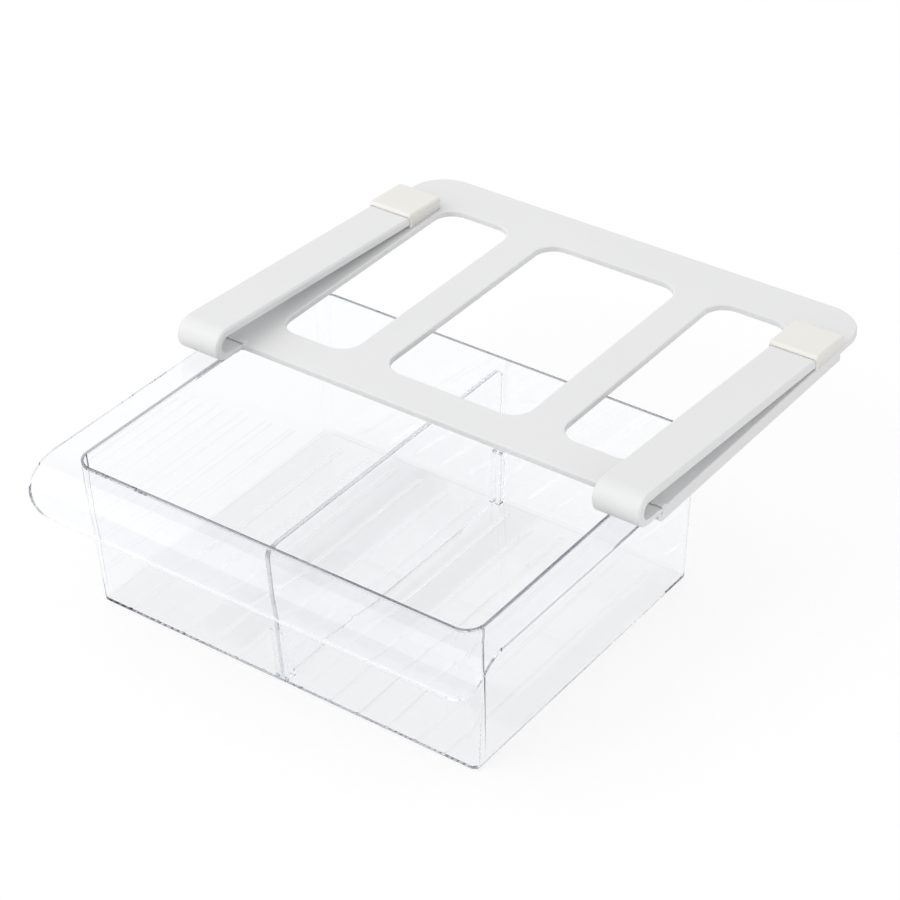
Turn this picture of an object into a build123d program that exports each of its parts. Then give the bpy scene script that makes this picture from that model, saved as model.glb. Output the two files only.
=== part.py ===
from build123d import *
import math
import os

os.makedirs("parts", exist_ok=True)

# All sizes in millimetres. X is the width, +Y runs from the pull to the back, +Z is up.
# Z = 0 is the drawer's underside. Y = 0 is the middle of the whole length with the
# drawer drawn out as photographed.

# Drawer tub, measured over its outside
drawer_w = 201.6  # across the rim
drawer_l = 164.4  # front rim to back rim
drawer_h = 73.2
draft_side = 3.4  # how far each wall leans in at the floor
draft_front = 5.8
draft_back = 3.9
wall = 1.8
corner_r = 7.0
floor_edge_r = 1.6

# Side flanges and the pull they run into
flange_reach = 12.5  # out from the rim
flange_t = 2.0
flange_l = 150.0
flange_corner_r = 6.0
lip_r = 18.7  # outer radius of the pull's quarter roll
lip_start = 1.8  # the roll starts this far behind the front rim
lip_corner_r = 13.5

# Ribs on the drawer's floor
rib_pitch = 14.3
rib_first = 10.0
rib_count = 6
rib_w = 1.2
rib_h = 1.0
rib_back_gap = 7.5

# Divider, and the guides that hold its ends
divider_t = 2.4
divider_drop = 3.2  # top edge below the rim
divider_gap = 0.3
divider_corner_r = 5.0
guide_h = 27.0
guide_reach = 4.0
guide_t = 2.0
guide_slack = 0.2

# Frame plate
pull_out = 104.3  # front rim to the plate's front edge
frame_l = 170.8
plate_t = 2.8
plate_lift = 1.2  # plate's underside above the drawer's rim
plate_back_r = 19.0
plate_front_r = 3.0
plate_edge_r = 0.7
front_bar = 19.7
back_bar = 24.6
mid_window_w = 72.0
cross_bar = 18.0
side_window_w = 39.0
window_r = 10.0

# Rails under the plate's sides
rail_l = 146.0
rail_wall = 2.5
rail_inset = 1.9  # rail's outer face in from the plate's side
side_gap = 0.6  # between flange and rail wall
flange_gap = 0.4  # between flange and ledge
ledge_t = 2.3
ledge_gap = 2.2  # between ledge and rim
rail_front_r = 4.0

# Clip arms
arm_w = 22.6
arm_inset = 0.1  # arm's outer side in from the plate's side
arm_t = 3.5
arm_l = 151.9
arm_slope = 3.3  # degrees, falling to the back
arm_edge = 0.8
tip_r = 6.0
nose_r = 7.6
nose_reach = 17.2  # nose front ahead of the plate's front edge
nose_lift = 0.2  # nose bottom above the plate's underside
leg_t = 3.0
leg_gap = 1.0  # foot's shoulder ahead of the plate

# Snap hinge at the foot of each arm
bead_r = 1.3
bead_gap = 0.05
bead_back = 1.2  # bead's centre behind the plate's front edge
neck_t = 1.7
socket_wall = 0.95
mouth_half = 50.0  # degrees each side of straight ahead

# Grip sleeves
sleeve_front = 120.5  # behind the plate's front edge
sleeve_l = 24.0
sleeve_side = 0.8
sleeve_top = 2.1
sleeve_lift = 0.35  # sleeve's underside above the plate
sleeve_edge_r = 1.4

# Derived positions
overall_l = lip_r - lip_start + pull_out + frame_l
rim_y = lip_r - lip_start - overall_l / 2
plate_y = rim_y + pull_out
plate_z = drawer_h + plate_lift
plate_top = plate_z + plate_t

rim_mid = rim_y + drawer_l / 2
lip_y = rim_y + lip_start
lip_z = drawer_h - lip_r
flange_half = drawer_w / 2 + flange_reach

rail_half = flange_half + side_gap + rail_wall
ledge_half = drawer_w / 2 + ledge_gap
frame_w = 2 * (rail_half + rail_inset)

arm_mid = frame_w / 2 - arm_inset - arm_w / 2
nose_y = plate_y - nose_reach + nose_r
nose_z = plate_z + nose_lift + nose_r
bead_y = plate_y + bead_back
bead_z = nose_z - nose_r + leg_t / 2
socket_r = bead_r + bead_gap
boss_r = socket_r + socket_wall
fall = math.radians(arm_slope)
# unit steps along the arm (towards its tip) and square to it (upwards)
along = (math.cos(fall), -math.sin(fall))
upward = (math.sin(fall), math.cos(fall))


def inner_face_y(at_front, z):
    """Inner face of the drawer's front or back wall at height z."""
    lean = 1 - z / drawer_h
    if at_front:
        return rim_y + draft_front * lean + wall
    return rim_y + drawer_l - draft_back * lean - wall


def arm_point(distance, height):
    """Point in the YZ plane, measured along and square to the arm from its nose's centre."""
    return (
        nose_y + distance * along[0] + height * upward[0],
        nose_z + distance * along[1] + height * upward[1],
    )


# ---------------------------------------------------------------- drawer
with BuildPart() as drawer:
    # tapered tub with round uprights, hollowed from the rim
    with BuildSketch(Plane.YZ):
        with BuildLine():
            Polyline(
                (rim_y, drawer_h),
                (rim_y + draft_front, 0),
                (rim_y + drawer_l - draft_back, 0),
                (rim_y + drawer_l, drawer_h),
                close=True,
            )
        make_face()
    extrude(amount=drawer_w / 2, both=True)
    with BuildSketch(Plane.XZ.offset(-rim_mid)):
        with BuildLine():
            Polyline(
                (-drawer_w / 2, drawer_h),
                (-drawer_w / 2 + draft_side, 0),
                (drawer_w / 2 - draft_side, 0),
                (drawer_w / 2, drawer_h),
                close=True,
            )
        make_face()
    extrude(amount=drawer_l, both=True, mode=Mode.INTERSECT)
    fillet(drawer.edges().filter_by(Axis.Z, tolerance=10), corner_r)
    offset(amount=-wall, openings=drawer.faces().sort_by(Axis.Z)[-1])
    fillet(drawer.faces().sort_by(Axis.Z)[0].outer_wire().edges(), floor_edge_r)

    # flat flange round the rim, widest along both sides
    with BuildSketch(Plane.XY.offset(drawer_h - flange_t)):
        with Locations((0, lip_y + flange_l / 2)):
            flange_outline = Rectangle(2 * flange_half, flange_l)
        fillet(flange_outline.vertices().group_by(Axis.Y)[-1], flange_corner_r)
        with Locations((0, rim_mid)):
            RectangleRounded(drawer_w - wall, drawer_l - wall, corner_r - wall / 2, mode=Mode.SUBTRACT)
    extrude(amount=flange_t)

    # pull: a quarter roll that turns down ahead of the front wall
    with BuildSketch(Plane.YZ):
        with BuildLine():
            outer = CenterArc((lip_y, lip_z), lip_r, 90, 90)
            inner = CenterArc((lip_y, lip_z), lip_r - flange_t, 90, 90)
            Line(outer @ 0, inner @ 0)
            Line(outer @ 1, inner @ 1)
        make_face()
    extrude(amount=flange_half, both=True)

    # round the pull's two lower corners
    with BuildSketch(Plane.XZ.offset(-lip_y)):
        for side in (-1, 1):
            with Locations((side * (flange_half - lip_corner_r / 2), lip_z + lip_corner_r / 2)):
                Rectangle(lip_corner_r, lip_corner_r)
            with Locations((side * (flange_half - lip_corner_r), lip_z + lip_corner_r)):
                Circle(lip_corner_r, mode=Mode.SUBTRACT)
    extrude(amount=2 * lip_r, mode=Mode.SUBTRACT)

    # drain ribs along both halves of the floor
    rib_from = inner_face_y(True, wall) - wall / 2
    rib_to = inner_face_y(False, wall) - rib_back_gap
    with BuildSketch(Plane.XY.offset(wall)):
        for side in (-1, 1):
            for n in range(rib_count):
                with Locations((side * (rib_first + n * rib_pitch), (rib_from + rib_to) / 2)):
                    Rectangle(rib_w, rib_to - rib_from)
    extrude(amount=rib_h)

    # pairs of guides on the front and back walls, round-topped
    for at_front in (True, False):
        inward = 1 if at_front else -1
        guide_top = wall + guide_h
        root = inner_face_y(at_front, wall) - inward * wall / 2
        root_top = inner_face_y(at_front, guide_top) - inward * wall / 2
        reach = guide_reach + wall / 2
        for side in (-1, 1):
            guide_x = side * (divider_t / 2 + guide_slack + guide_t / 2)
            with BuildSketch(Plane.YZ.offset(guide_x)):
                with BuildLine():
                    foot = Line((root, wall / 2), (root + inward * reach, wall / 2))
                    top_in = (root_top + inward * reach, guide_top - guide_reach)
                    face = Line(foot @ 1, top_in)
                    crown = JernArc(top_in, face % 1, guide_reach, inward * 90)
                    Line(crown @ 1, (root_top, guide_top))
                    Line((root_top, guide_top), foot @ 0)
                make_face()
            extrude(amount=guide_t / 2, both=True)
drawer.part.label = "drawer"

# ---------------------------------------------------------------- divider
with BuildPart() as divider:
    divider_low = wall + divider_gap
    divider_high = drawer_h - divider_drop
    with BuildSketch(Plane.YZ):
        with BuildLine():
            Polyline(
                (inner_face_y(True, divider_low) + divider_gap, divider_low),
                (inner_face_y(False, divider_low) - divider_gap, divider_low),
                (inner_face_y(False, divider_high) - divider_gap, divider_high),
                (inner_face_y(True, divider_high) + divider_gap, divider_high),
                close=True,
            )
        make_face()
    extrude(amount=divider_t / 2, both=True)
    fillet(divider.edges().filter_by(Axis.X).group_by(Axis.Z)[-1], divider_corner_r)
divider.part.label = "divider"

# ---------------------------------------------------------------- frame
with BuildPart() as frame:
    # plate with its three windows
    with BuildSketch(Plane.XY.offset(plate_z)):
        with Locations((0, plate_y + frame_l / 2)):
            plate_outline = Rectangle(frame_w, frame_l)
        fillet(plate_outline.vertices().group_by(Axis.Y)[-1], plate_back_r)
        fillet(plate_outline.vertices().group_by(Axis.Y)[0], plate_front_r)
    extrude(amount=plate_t)
    window_l = frame_l - front_bar - back_bar
    window_mid = plate_y + front_bar + window_l / 2
    side_window_x = mid_window_w / 2 + cross_bar + side_window_w / 2
    with BuildSketch(Plane.XY.offset(plate_z)):
        with Locations((0, window_mid)):
            RectangleRounded(mid_window_w, window_l, window_r)
        with Locations((-side_window_x, window_mid), (side_window_x, window_mid)):
            RectangleRounded(side_window_w, window_l, window_r)
    extrude(amount=plate_t, mode=Mode.SUBTRACT)
    fillet(frame.faces().sort_by(Axis.Z)[-1].edges(), plate_edge_r)

    # rails: an outer wall with a ledge that carries the drawer's flange
    ledge_top = drawer_h - flange_t - flange_gap
    for side in (-1, 1):
        with BuildSketch(Plane.XZ.offset(-plate_y)):
            with BuildLine():
                Polyline(
                    (side * rail_half, plate_z + plate_t / 2),
                    (side * rail_half, ledge_top - ledge_t),
                    (side * ledge_half, ledge_top - ledge_t),
                    (side * ledge_half, ledge_top),
                    (side * (rail_half - rail_wall), ledge_top),
                    (side * (rail_half - rail_wall), plate_z + plate_t / 2),
                    close=True,
                )
            make_face()
        extrude(amount=-rail_l)
    # rounded lower front corner of both rails
    with BuildSketch(Plane.YZ):
        corner = (plate_y + rail_front_r, ledge_top - ledge_t + rail_front_r)
        with Locations((plate_y + rail_front_r / 2, ledge_top - ledge_t + rail_front_r / 2)):
            Rectangle(rail_front_r, rail_front_r)
        with Locations(corner):
            Circle(rail_front_r, mode=Mode.SUBTRACT)
    extrude(amount=frame_w, both=True, mode=Mode.SUBTRACT)

    # socket for each arm's bead, open to the front
    for side in (-1, 1):
        with BuildSketch(Plane.YZ.offset(side * arm_mid)):
            with Locations((bead_y, bead_z)):
                Circle(boss_r)
        extrude(amount=arm_w / 2, both=True)
    for side in (-1, 1):
        with BuildSketch(Plane.YZ.offset(side * arm_mid)):
            with Locations((bead_y, bead_z)):
                Circle(socket_r)
            with BuildLine():
                mouth = 3 * bead_r
                mouth_dy = mouth * math.cos(math.radians(mouth_half))
                mouth_dz = mouth * math.sin(math.radians(mouth_half))
                Polyline(
                    (bead_y, bead_z),
                    (bead_y - mouth_dy, bead_z + mouth_dz),
                    (bead_y - mouth_dy, bead_z - mouth_dz),
                    close=True,
                )
            make_face()
        extrude(amount=arm_w / 2 + bead_gap, both=True, mode=Mode.SUBTRACT)
frame.part.label = "frame"

# ---------------------------------------------------------------- clip arms
# side view shared by both arms: blade, nose, foot and bead
with BuildSketch(Plane.YZ) as arm_side:
    with Locations((nose_y, nose_z)):
        Circle(nose_r)
        Circle(nose_r - arm_t, mode=Mode.SUBTRACT)
    with BuildLine():
        Polyline(
            (nose_y, nose_z),
            arm_point(0, 2 * nose_r),
            arm_point(3 * nose_r, 2 * nose_r),
            (nose_y + 3 * nose_r, nose_z - 2 * nose_r),
            (nose_y, nose_z - 2 * nose_r),
            close=True,
        )
    make_face(mode=Mode.SUBTRACT)
    with BuildLine():
        Polyline(
            arm_point(0, nose_r),
            arm_point(arm_l, nose_r),
            arm_point(arm_l, nose_r - arm_t),
            arm_point(0, nose_r - arm_t),
            close=True,
        )
    make_face()
    foot_y = plate_y - leg_gap
    with BuildLine():
        Polyline(
            (nose_y, nose_z - nose_r),
            (foot_y, nose_z - nose_r),
            (foot_y, nose_z - nose_r + leg_t),
            (nose_y, nose_z - nose_r + arm_t),
            close=True,
        )
    make_face()
    with Locations(((foot_y + bead_y) / 2, bead_z)):
        Rectangle(bead_y - foot_y, neck_t)
    with Locations((bead_y, bead_z)):
        Circle(bead_r)

with BuildPart() as clip_arm_left:
    with BuildSketch(Plane.YZ.offset(-arm_mid)):
        add(arm_side.sketch_local)
    extrude(amount=arm_w / 2, both=True)
    # round the free end's corners and break the upper edges
    fillet(clip_arm_left.edges().filter_by(Axis.Z, tolerance=5).group_by(Axis.Y)[-1], tip_r)
    chamfer(clip_arm_left.faces().group_by(Axis.Z)[-1].edges(), arm_edge)
clip_arm_left.part.label = "clip_arm_left"

with BuildPart() as clip_arm_right:
    with BuildSketch(Plane.YZ.offset(arm_mid)):
        add(arm_side.sketch_local)
    extrude(amount=arm_w / 2, both=True)
    fillet(clip_arm_right.edges().filter_by(Axis.Z, tolerance=5).group_by(Axis.Y)[-1], tip_r)
    chamfer(clip_arm_right.faces().group_by(Axis.Z)[-1].edges(), arm_edge)
clip_arm_right.part.label = "clip_arm_right"

# ---------------------------------------------------------------- grip sleeves
# side view shared by both sleeves: level underneath, top along the arm's slope
with BuildSketch(Plane.YZ) as sleeve_side_view:
    sleeve_y = plate_y + sleeve_front
    sleeve_low = plate_top + sleeve_lift
    front_high = nose_z + (nose_r + sleeve_top) / along[0] - (sleeve_y - nose_y) * math.tan(fall)
    back_high = front_high - sleeve_l * math.tan(fall)
    with BuildLine():
        Polyline(
            (sleeve_y, sleeve_low),
            (sleeve_y + sleeve_l, sleeve_low),
            (sleeve_y + sleeve_l, back_high),
            (sleeve_y, front_high),
            close=True,
        )
    make_face()

sleeve_w = arm_w + 2 * sleeve_side

with BuildPart() as grip_sleeve_left:
    with BuildSketch(Plane.YZ.offset(-arm_mid)):
        add(sleeve_side_view.sketch_local)
    extrude(amount=sleeve_w / 2, both=True)
    fillet(grip_sleeve_left.edges().filter_by(Axis.Z), sleeve_edge_r)
    fillet(grip_sleeve_left.faces().sort_by(Axis.Z)[-1].edges(), sleeve_edge_r)
    add(clip_arm_left.part, mode=Mode.SUBTRACT)
grip_sleeve_left.part.label = "grip_sleeve_left"

with BuildPart() as grip_sleeve_right:
    with BuildSketch(Plane.YZ.offset(arm_mid)):
        add(sleeve_side_view.sketch_local)
    extrude(amount=sleeve_w / 2, both=True)
    fillet(grip_sleeve_right.edges().filter_by(Axis.Z), sleeve_edge_r)
    fillet(grip_sleeve_right.faces().sort_by(Axis.Z)[-1].edges(), sleeve_edge_r)
    add(clip_arm_right.part, mode=Mode.SUBTRACT)
grip_sleeve_right.part.label = "grip_sleeve_right"

for piece in (
    drawer,
    divider,
    frame,
    clip_arm_left,
    clip_arm_right,
    grip_sleeve_left,
    grip_sleeve_right,
):
    box = piece.part.bounding_box()
    print(piece.part.label, len(piece.part.solids()), piece.part.is_valid, box.min, box.max)
    export_step(piece.part, f"parts/{piece.part.label}.step")
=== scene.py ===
# %% [markdown]
# # An under-shelf drawer organizer, dressed in Blender
#
# The real object is two mouldings that slide in each other. A white plate with three windows
# hangs under a fridge shelf, held by two sprung arms with rubber grips, and a clear drawer with
# a divider slides in rails under the plate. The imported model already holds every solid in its
# place, so this file adds what a solid can't carry: soft edges, plastic, rubber, light and a
# camera.

import math

import bmesh
import bpy
from mathutils import Matrix, Vector


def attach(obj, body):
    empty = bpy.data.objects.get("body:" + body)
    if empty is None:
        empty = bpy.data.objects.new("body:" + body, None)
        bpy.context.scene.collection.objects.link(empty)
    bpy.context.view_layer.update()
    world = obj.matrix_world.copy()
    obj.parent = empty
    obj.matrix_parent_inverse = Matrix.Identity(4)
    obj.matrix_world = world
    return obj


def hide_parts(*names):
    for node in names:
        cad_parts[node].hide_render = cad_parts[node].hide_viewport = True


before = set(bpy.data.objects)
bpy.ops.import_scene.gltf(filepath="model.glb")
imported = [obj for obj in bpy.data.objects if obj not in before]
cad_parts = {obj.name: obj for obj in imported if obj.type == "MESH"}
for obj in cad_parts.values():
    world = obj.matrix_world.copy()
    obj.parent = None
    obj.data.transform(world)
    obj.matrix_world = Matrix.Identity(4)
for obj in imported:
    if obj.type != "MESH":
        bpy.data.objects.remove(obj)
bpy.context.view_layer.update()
MM = 0.001
print("nodes:", sorted(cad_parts))

# %% [markdown]
# ## The camera
#
# A camera can be placed by eye, or worked out from the object's straight edges. Straight edges
# give it exactly: the direction from the object back to the camera is an azimuth round the
# object and an elevation above it, and a small roll finishes it. A long lens keeps the plate's
# edges almost parallel, as in a product photograph.

# %% Camera
azimuth = math.radians(36.589)
elevation = math.radians(34.584)
roll = math.radians(-1.187)
distance = 1.1321
aim = Vector((21.862, -34.722, 73.2)) * MM

back = Vector(
    (
        math.sin(azimuth) * math.cos(elevation),
        -math.cos(azimuth) * math.cos(elevation),
        math.sin(elevation),
    )
)
level = Vector((0, 0, 1)).cross(back).normalized()
upright = back.cross(level)
right = math.cos(roll) * level + math.sin(roll) * upright
up = -math.sin(roll) * level + math.cos(roll) * upright

camera_data = bpy.data.cameras.new("camera")
camera_data.lens = 110.54
camera_data.sensor_width = 36.0
camera = bpy.data.objects.new("camera", camera_data)
camera.matrix_world = Matrix.Translation(aim + back * distance) @ Matrix(
    (right, up, back)
).transposed().to_4x4()
bpy.context.scene.collection.objects.link(camera)
bpy.context.scene.camera = camera
print("camera at", [round(v, 3) for v in camera.matrix_world.translation])

# %% [markdown]
# ## The drawer's measures
#
# Both the drawer's material and its shape need these: where the rim's outer face lies, how far
# each wall leans in at the floor, and the corner radii and wall thicknesses at floor and rim.

# %% Measures
rim_front, rim_back = -129.1 * MM, 35.3 * MM
rim_side = 100.8 * MM
tub_height = 73.2 * MM
lean_front, lean_back, lean_side = 5.8 * MM, 3.9 * MM, 3.4 * MM
solid_radius = 7.0 * MM
floor_radius, rim_radius = 3.2 * MM, 9.0 * MM
wall, rim_wall = 1.8 * MM, 1.1 * MM
print("rim", round(2 * rim_side / MM, 1), "by", round((rim_back - rim_front) / MM, 1), "mm")

# %% [markdown]
# ## A helper for materials
#
# Every finish here starts from a Principled shader. The helper makes the material, hands back
# its node tree and shader, and keeps the constant values on the shader's own sockets, where
# they are easy to find and survive an export.

# %% Material helper


def new_finish(name, **values):
    """A material whose Principled shader has these values on its sockets."""
    finish = bpy.data.materials.new(name)
    finish.use_nodes = True
    tree = finish.node_tree
    shader = tree.nodes["Principled BSDF"]
    for socket, value in values.items():
        shader.inputs[socket.replace("_", " ")].default_value = value
    return finish, tree, shader


def add_noise(tree, scale, detail=2.0):
    """Noise in the object's own metres, so it stays put when the object moves."""
    place = tree.nodes.new("ShaderNodeTexCoord")
    noise = tree.nodes.new("ShaderNodeTexNoise")
    noise.inputs["Scale"].default_value = scale
    noise.inputs["Detail"].default_value = detail
    tree.links.new(place.outputs["Object"], noise.inputs["Vector"])
    return noise


def vary(tree, noise, socket, low, high):
    """Feed a socket with the noise, stretched between two values."""
    span = tree.nodes.new("ShaderNodeMapRange")
    span.inputs["From Min"].default_value = 0.3
    span.inputs["From Max"].default_value = 0.7
    span.inputs["To Min"].default_value = low
    span.inputs["To Max"].default_value = high
    tree.links.new(noise.outputs["Fac"], span.inputs["Value"])
    tree.links.new(span.outputs["Result"], socket)


def tint(tree, noise, socket, dark, light):
    """Feed a colour socket with a drift between two near colours."""
    mix = tree.nodes.new("ShaderNodeMix")
    mix.data_type = "RGBA"
    mix.inputs["A"].default_value = (*dark, 1)
    mix.inputs["B"].default_value = (*light, 1)
    tree.links.new(noise.outputs["Fac"], mix.inputs["Factor"])
    tree.links.new(mix.outputs["Result"], socket)


def grain(tree, shader, noise, depth):
    """A bump as deep as stated, in metres."""
    bump = tree.nodes.new("ShaderNodeBump")
    bump.inputs["Strength"].default_value = 1.0
    bump.inputs["Distance"].default_value = depth
    tree.links.new(noise.outputs["Fac"], bump.inputs["Height"])
    tree.links.new(bump.outputs["Normal"], shader.inputs["Normal"])


# %% [markdown]
# ## White plastic
#
# The plate and arms are injection-moulded in white plastic. Such a surface is satin: the mould
# was blasted, so it has a very fine grain that spreads the highlights, and the colour drifts a
# little where the melt cooled. One noise drives the drift, a finer one the grain and roughness.

# %% White plastic
white_plastic, tree, shader = new_finish("white_satin_plastic", IOR=1.46)
drift = add_noise(tree, 14.0)
tint(tree, drift, shader.inputs["Base Color"], (0.83, 0.832, 0.838), (0.86, 0.862, 0.868))
fine = add_noise(tree, 1900.0, 3.0)
vary(tree, fine, shader.inputs["Roughness"], 0.36, 0.48)
grain(tree, shader, fine, 0.00002)
print("made", white_plastic.name)

# %% [markdown]
# ## Cream rubber
#
# The grips are a soft thermoplastic rubber: warmer than the plate, almost without gloss, and
# with a coarser grain.

# %% Cream rubber
cream_rubber, tree, shader = new_finish("grip_rubber", Specular_IOR_Level=0.3)
drift = add_noise(tree, 60.0)
tint(tree, drift, shader.inputs["Base Color"], (0.88, 0.868, 0.82), (0.91, 0.898, 0.86))
fine = add_noise(tree, 2600.0, 3.0)
vary(tree, fine, shader.inputs["Roughness"], 0.62, 0.78)
grain(tree, shader, fine, 0.00004)
print("made", cream_rubber.name)

# %% [markdown]
# ## Clear plastic
#
# The drawer is crystal polystyrene, as clear as glass. Three things make it visible: each face
# bends and reflects light a little, every pass through a wall takes out a little red, and light
# caught between the two faces of a wall runs along it and comes out darker at a rim or corner.
# A transmission shader does the first two, and an absorbing volume inside the solid does the
# third. The top of the rim gets painted shade: a darker tint in its colour, masked to a thin
# band, that stands for the dark line a clear rim shows where it bends light away. The noise is
# the faint unevenness of a polished mould.

# %% Clear plastic
clear_tint = (0.985, 0.99, 0.999, 1)
# The rim's darker colour is painted shade, a stand-in for the dark line along a clear rim.
painted_rim_shade = (0.27, 0.27, 0.31, 1)
rim_margin, rim_depth = 0.1 * MM, 0.4 * MM


def clear_finish(name, density):
    """Crystal plastic that darkens with the distance light runs inside it."""
    finish, tree, shader = new_finish(
        name, Transmission_Weight=1.0, IOR=1.5, Base_Color=clear_tint
    )
    fine = add_noise(tree, 40.0)
    vary(tree, fine, shader.inputs["Roughness"], 0.0, 0.015)
    body = tree.nodes.new("ShaderNodeVolumeAbsorption")
    body.inputs["Color"].default_value = (0.3, 0.33, 0.42, 1)
    body.inputs["Density"].default_value = density
    tree.links.new(body.outputs["Volume"], tree.nodes["Material Output"].inputs["Volume"])
    return finish


def painted_shade_rim_mask(tree):
    """1 where the rim's top gets painted shade: a rounded rectangle's distance gives the band."""

    def math_node(operation, *values):
        node = tree.nodes.new("ShaderNodeMath")
        node.operation = operation
        for socket, value in zip(node.inputs, values):
            if isinstance(value, float):
                socket.default_value = value
            else:
                tree.links.new(value, socket)
        return node.outputs[0]

    place = tree.nodes.new("ShaderNodeTexCoord")
    axes = tree.nodes.new("ShaderNodeSeparateXYZ")
    tree.links.new(place.outputs["Object"], axes.inputs[0])
    middle, half = (rim_front + rim_back) / 2, (rim_back - rim_front) / 2
    across = math_node("SUBTRACT", math_node("ABSOLUTE", axes.outputs["X"]), rim_side - rim_radius)
    along = math_node("ABSOLUTE", math_node("SUBTRACT", axes.outputs["Y"], middle))
    along = math_node("SUBTRACT", along, half - rim_radius)
    outside = [math_node("MAXIMUM", value, 0.0) for value in (across, along)]
    squares = [math_node("MULTIPLY", value, value) for value in outside]
    reach = math_node("SQRT", math_node("ADD", *squares))
    inside = math_node("MINIMUM", math_node("MAXIMUM", across, along), 0.0)
    distance = math_node("ADD", reach, inside)
    in_wall = math_node("GREATER_THAN", distance, rim_radius - rim_wall - rim_margin)
    in_rim = math_node("LESS_THAN", distance, rim_radius + rim_margin)
    on_top = math_node("GREATER_THAN", axes.outputs["Z"], tub_height - rim_depth)
    return math_node("MULTIPLY", math_node("MULTIPLY", in_wall, in_rim), on_top)


drawer_plastic = clear_finish("crystal_drawer", 3.0)
tree = drawer_plastic.node_tree
# The rim band takes the painted shade colour in place of the clear tint.
edge = tree.nodes.new("ShaderNodeMix")
edge.data_type = "RGBA"
edge.inputs["A"].default_value = clear_tint
edge.inputs["B"].default_value = painted_rim_shade
tree.links.new(painted_shade_rim_mask(tree), edge.inputs["Factor"])
tree.links.new(edge.outputs["Result"], tree.nodes["Principled BSDF"].inputs["Base Color"])
divider_plastic = clear_finish("crystal_divider", 2.5)
print("made", drawer_plastic.name, divider_plastic.name)

# %% [markdown]
# ## From solid to moulding
#
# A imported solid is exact, but its edges are knife-sharp and its mesh is loose triangles. No
# moulding has a sharp edge: the mould's edges are rounded, and that thin round is what catches
# the light. Modelling all pieces again would lose their exact fit, so each piece here starts
# from a copy of its solid. The copy is merged, its flat faces are joined again, and its sharp
# edges are bevelled. Flat faces keep flat shading right up to their rounded edges, or clear
# walls would bend light like lenses.

# %% A copy to work on
merge_distance = 0.001 * MM
flat_angle = math.radians(0.5)
crease_angle = math.radians(50)


def mesh_copy(node):
    """The solid's mesh with its triangles merged and its flat faces joined."""
    piece = bmesh.new()
    piece.from_mesh(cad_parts[node].data)
    bmesh.ops.remove_doubles(piece, verts=piece.verts, dist=merge_distance)
    bmesh.ops.dissolve_limit(
        piece, angle_limit=flat_angle, verts=piece.verts, edges=piece.edges
    )
    return piece


def soften(piece, width, sharp=40.0, segments=2):
    """Bevel every edge whose faces meet at more than the sharp angle, in degrees."""
    limit = math.radians(sharp)
    edges = [edge for edge in piece.edges if edge.is_manifold and edge.calc_face_angle() > limit]
    bmesh.ops.bevel(
        piece,
        geom=edges,
        offset=width,
        segments=segments,
        profile=0.5,
        affect="EDGES",
        clamp_overlap=True,
        material=-1,
    )
    return len(edges)


def settle_order(piece):
    """Number the elements by place, because a bevel numbers them differently in each run."""
    slant = Vector((1.0, 1.6180339, 2.4142135))
    piece.verts.sort(key=lambda vert: vert.co.dot(slant))
    for group in (piece.edges, piece.faces):
        group.sort(key=lambda item: sum((v.co.dot(slant) for v in item.verts)) / len(item.verts))
    for group in (piece.verts, piece.edges, piece.faces):
        group.index_update()


def finish_piece(piece, name, node, body, finish):
    """Turn the bmesh into an object that rides on a body and stands for a node."""
    loose = [edge for edge in piece.edges if not edge.is_manifold]
    bmesh.ops.triangulate(piece, faces=[face for face in piece.faces if len(face.verts) > 4])
    settle_order(piece)
    mesh = bpy.data.meshes.new(name)
    piece.to_mesh(mesh)
    piece.free()
    mesh.materials.append(finish)
    mesh.shade_smooth()
    mesh.set_sharp_from_angle(angle=crease_angle)
    thing = bpy.data.objects.new(name, mesh)
    bpy.context.scene.collection.objects.link(thing)
    shading = thing.modifiers.new("flat faces stay flat", "WEIGHTED_NORMAL")
    shading.keep_sharp = True
    shading.weight = 100
    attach(thing, body)
    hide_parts(node)
    print(name, len(mesh.polygons), "faces,", len(loose), "open edges")
    return thing


# %% [markdown]
# ## The drawer's walls
#
# The tub is moulded with round corners that open out towards the rim, so that a stack of tubs
# comes apart. At the floor the corner is nearly sharp, and at the rim it is wide. The solid
# has the same radius all the way up. Each corner of the copy is therefore scaled about the
# point where its two walls would meet: more than one at the rim, and less than one at the floor.
# The inside of a mould has more draft than the outside, so the walls also thin towards the rim.

# %% Wall shaping
arc_tolerance = 0.12 * MM
wall_tolerance = 0.03 * MM
touch = 1e-6


def shape_walls(tub):
    """Open the tub's upright corners and thin its walls towards the rim."""
    moved = 0
    for vert in tub.verts:
        rise = vert.co.z / tub_height
        new_radius = floor_radius + (rim_radius - floor_radius) * rise
        new_wall = wall + (rim_wall - wall) * rise
        side = rim_side - lean_side * (1 - rise)
        front = rim_front + lean_front * (1 - rise)
        back_wall = rim_back - lean_back * (1 - rise)
        sign = math.copysign(1, vert.co.x)
        at_front = vert.co.y < (front + back_wall) / 2
        end, inward = (front, 1) if at_front else (back_wall, -1)
        for inset, new_inset in ((0.0, 0.0), (wall, new_wall)):
            corner = Vector((sign * (side - inset), end + inward * inset))
            new_corner = Vector((sign * (side - new_inset), end + inward * new_inset))
            radius = solid_radius - inset
            offset = Vector((vert.co.x, vert.co.y)) - corner
            out = offset + Vector((sign * radius, -inward * radius))
            facing = out.x * sign >= -touch and out.y * inward <= touch
            if facing and abs(out.length - radius) < arc_tolerance:
                place = new_corner + offset * (new_radius - new_inset) / radius
                vert.co.x, vert.co.y = place
                moved += 1
                break
            if inset and vert.co.z > wall * 1.05:
                if abs(offset.x) < wall_tolerance and offset.y * inward > radius:
                    vert.co.x = new_corner.x
                elif abs(offset.y) < wall_tolerance and -offset.x * sign > radius:
                    vert.co.y = new_corner.y
    return moved


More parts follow.
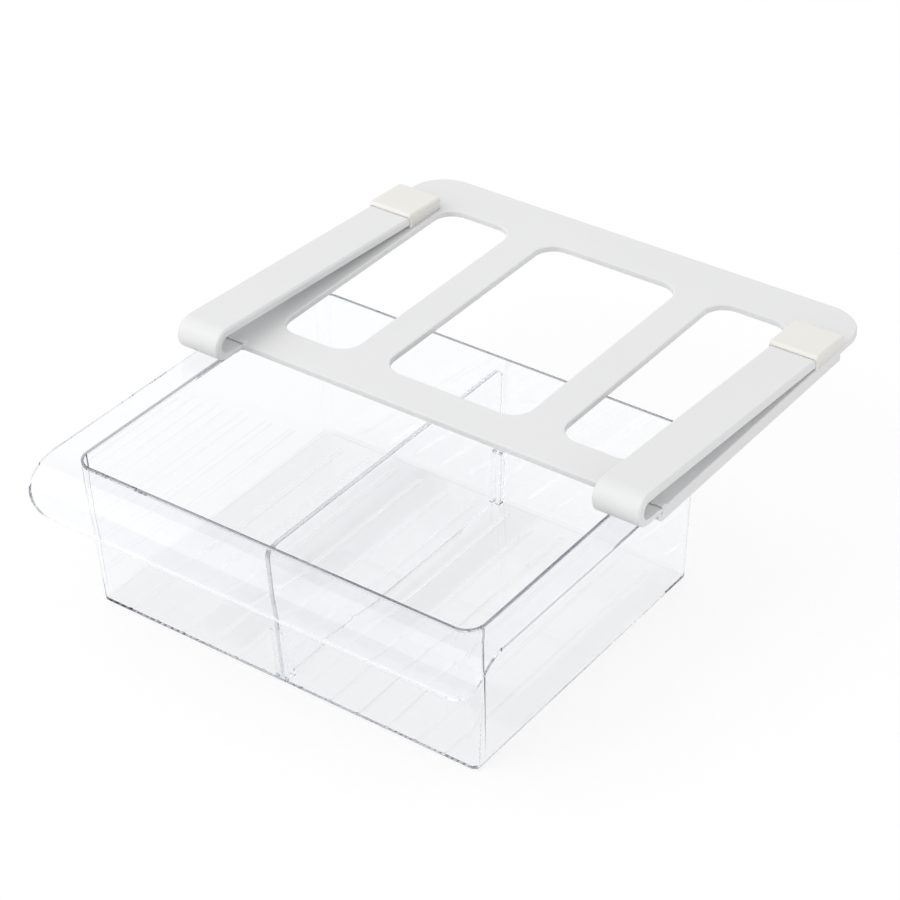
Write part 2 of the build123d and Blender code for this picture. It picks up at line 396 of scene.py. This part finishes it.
# %% [markdown]
# ## The drain ribs
#
# The ribs on the drawer's floor stand square in the solid. In the mould they are shallow and
# flare into the floor, so light crosses them without a hard line. The copy's rib points move to
# a low trapezium whose slopes are gentle enough to be shaded as one soft swell.

# %% Rib shaping
rib_first, rib_pitch, rib_count = 10.0 * MM, 14.3 * MM, 6
rib_half, rib_top = 0.6 * MM, 2.8 * MM
soft_base, soft_crest, soft_top = 1.3 * MM, 0.15 * MM, 2.3 * MM
crest_pull, base_push = 0.3 * MM, 0.5 * MM
rib_tolerance = 0.01 * MM


def soften_ribs(tub):
    """Turn each square rib into a low swell."""
    moved = 0
    rib_end = max(vert.co.y for vert in tub.verts if abs(vert.co.z - rib_top) < rib_tolerance)
    for vert in tub.verts:
        crest = abs(vert.co.z - rib_top) < rib_tolerance
        if not crest and abs(vert.co.z - wall) > rib_tolerance:
            continue
        for index in range(rib_count):
            middle = math.copysign(rib_first + index * rib_pitch, vert.co.x)
            off = vert.co.x - middle
            if abs(abs(off) - rib_half) > 2 * rib_tolerance:
                continue
            vert.co.x = middle + math.copysign(soft_crest if crest else soft_base, off)
            if abs(vert.co.y - rib_end) < rib_tolerance:
                vert.co.y += -crest_pull if crest else base_push
            if crest:
                vert.co.z = soft_top
            moved += 1
    return moved


# %% Drawer
drawer = mesh_copy("drawer")
print("corner points moved:", shape_walls(drawer))
print("rib points moved:", soften_ribs(drawer))
print("edges rounded:", soften(drawer, 0.3 * MM))
finish_piece(drawer, "clear_drawer", "drawer", "drawer", drawer_plastic)

# %% Divider
divider = mesh_copy("divider")
print("edges rounded:", soften(divider, 0.45 * MM))
finish_piece(divider, "clear_divider", "divider", "drawer", divider_plastic)

# %% Frame
plate = mesh_copy("frame")
print("edges rounded:", soften(plate, 0.25 * MM))
finish_piece(plate, "windowed_frame", "frame", "frame", white_plastic)

# %% Arms and grips
for side in ("left", "right"):
    arm = mesh_copy(f"clip_arm_{side}")
    print("edges rounded:", soften(arm, 0.4 * MM, sharp=20.0))
    body, arm_node, grip_node = f"{side}_clip", f"clip_arm_{side}", f"grip_sleeve_{side}"
    finish_piece(arm, f"sprung_arm_{side}", arm_node, body, white_plastic)
    grip = mesh_copy(grip_node)
    finish_piece(grip, f"rubber_grip_{side}", grip_node, body, cream_rubber)

# %% [markdown]
# ## Floor
#
# A product photograph on white has a floor that runs on without a horizon. Here it is a large
# matt sheet under the drawer. It is lit like the object, so it keeps the object's faint shadow,
# and a little glow that only the camera, reflections and clear plastic see brings the bare
# parts up to white without throwing more light on the object.

# %% Floor
floor_size = 8.0
floor_drop = 0.4 * MM


def seen_rays(tree, *kinds):
    """1 for rays of these kinds and 0 for the rest."""
    path = tree.nodes.new("ShaderNodeLightPath")
    total = None
    for kind in kinds:
        if total is None:
            total = path.outputs[kind]
            continue
        either = tree.nodes.new("ShaderNodeMath")
        either.operation = "MAXIMUM"
        tree.links.new(total, either.inputs[0])
        tree.links.new(path.outputs[kind], either.inputs[1])
        total = either.outputs[0]
    return total


floor_finish = bpy.data.materials.new("white_floor")
floor_finish.use_nodes = True
tree = floor_finish.node_tree
shader = tree.nodes["Principled BSDF"]
shader.inputs["Roughness"].default_value = 1.0
shader.inputs["Specular IOR Level"].default_value = 0.0
shader.inputs["Emission Color"].default_value = (1, 1, 1, 1)
seen = seen_rays(tree, "Is Camera Ray", "Is Glossy Ray", "Is Transmission Ray")
glow = tree.nodes.new("ShaderNodeMath")
glow.operation = "MULTIPLY"
glow.inputs[1].default_value = 0.82
tree.links.new(seen, glow.inputs[0])
tree.links.new(glow.outputs[0], shader.inputs["Emission Strength"])
tone = tree.nodes.new("ShaderNodeMix")
tone.data_type = "RGBA"
tone.inputs["A"].default_value = (0.9, 0.9, 0.9, 1)
tone.inputs["B"].default_value = (0.2, 0.2, 0.2, 1)
tree.links.new(seen, tone.inputs["Factor"])
tree.links.new(tone.outputs["Result"], shader.inputs["Base Color"])

sheet = bmesh.new()
bmesh.ops.create_grid(sheet, x_segments=1, y_segments=1, size=floor_size)
bmesh.ops.translate(sheet, verts=sheet.verts, vec=(0, 0, -floor_drop))
floor_mesh = bpy.data.meshes.new("floor")
sheet.to_mesh(floor_mesh)
sheet.free()
floor_mesh.materials.append(floor_finish)
floor = bpy.data.objects.new("floor", floor_mesh)
bpy.context.scene.collection.objects.link(floor)
print("floor laid")

# %% [markdown]
# ## The studio round it
#
# Clear plastic shows what surrounds it. In an all-white room it would vanish, and a real studio
# isn't all white: it is dark overhead, above the lamps. So the camera sees plain white, while
# reflections and clear plastic see white at eye level that falls to grey overhead. The light
# on matt surfaces is an even, lower level.

# %% World
world = bpy.data.worlds.new("studio")
world.use_nodes = True
bpy.context.scene.world = world
tree = world.node_tree
sky = tree.nodes["Background"]
direction = tree.nodes.new("ShaderNodeTexCoord")
height = tree.nodes.new("ShaderNodeSeparateXYZ")
overhead = tree.nodes.new("ShaderNodeMapRange")
overhead.inputs["From Min"].default_value = 0.55
overhead.inputs["From Max"].default_value = 0.95
overhead.inputs["To Min"].default_value = 1.0
overhead.inputs["To Max"].default_value = 0.55
tree.links.new(direction.outputs["Generated"], height.inputs["Vector"])
tree.links.new(height.outputs["Z"], overhead.inputs["Value"])


def choose(value, when, otherwise):
    """A value for some rays and another for the rest."""
    mix = tree.nodes.new("ShaderNodeMix")
    tree.links.new(when, mix.inputs["Factor"])
    for source, socket in ((otherwise, mix.inputs["A"]), (value, mix.inputs["B"])):
        if isinstance(source, float):
            socket.default_value = source
        else:
            tree.links.new(source, socket)
    return mix.outputs["Result"]


mirrored = seen_rays(tree, "Is Glossy Ray", "Is Transmission Ray")
level = choose(overhead.outputs["Result"], mirrored, 0.75)
level = choose(1.0, seen_rays(tree, "Is Camera Ray"), level)
tree.links.new(level, sky.inputs["Strength"])
sky.inputs["Color"].default_value = (1, 1, 1, 1)
print("world ready")

# %% [markdown]
# ## Lamps
#
# One large softbox stands in front of the object on its left, above the camera's height. Front
# faces come out brightest, the top a little darker, and the sides that face right are the
# shaded ones, as in the photograph. A weak second one lifts those sides a little. Neither shows
# in reflections, because a lamp's sharp edge would draw a bright band along the clear pull.


# %% Lamps
lamp_target = Vector((0, 0, 0.05))


def softbox(name, place, size, power):
    lamp = bpy.data.lights.new(name, "AREA")
    lamp.shape = "SQUARE"
    lamp.size = size
    lamp.energy = power
    box = bpy.data.objects.new(name, lamp)
    box.location = place
    box.rotation_euler = (lamp_target - Vector(place)).to_track_quat("-Z", "Y").to_euler()
    box.visible_glossy = False
    bpy.context.scene.collection.objects.link(box)


softbox("key", (-1.3, -1.5, 1.75), 2.4, 27)
softbox("fill", (1.8, -1.2, 0.7), 1.6, 2)

# %% [markdown]
# ## View settings
#
# The Standard view shows a colour as it is written. Light in a clear wall bounces between its
# faces many times before it comes out, so the ray count goes up, or rims would end in black.

# %% View settings
scene = bpy.context.scene
scene.view_settings.view_transform = "Standard"
bounces = 96
scene.cycles.max_bounces = bounces
scene.cycles.transmission_bounces = bounces
scene.cycles.glossy_bounces = bounces
print("view", scene.view_settings.view_transform, "with", bounces, "bounces")
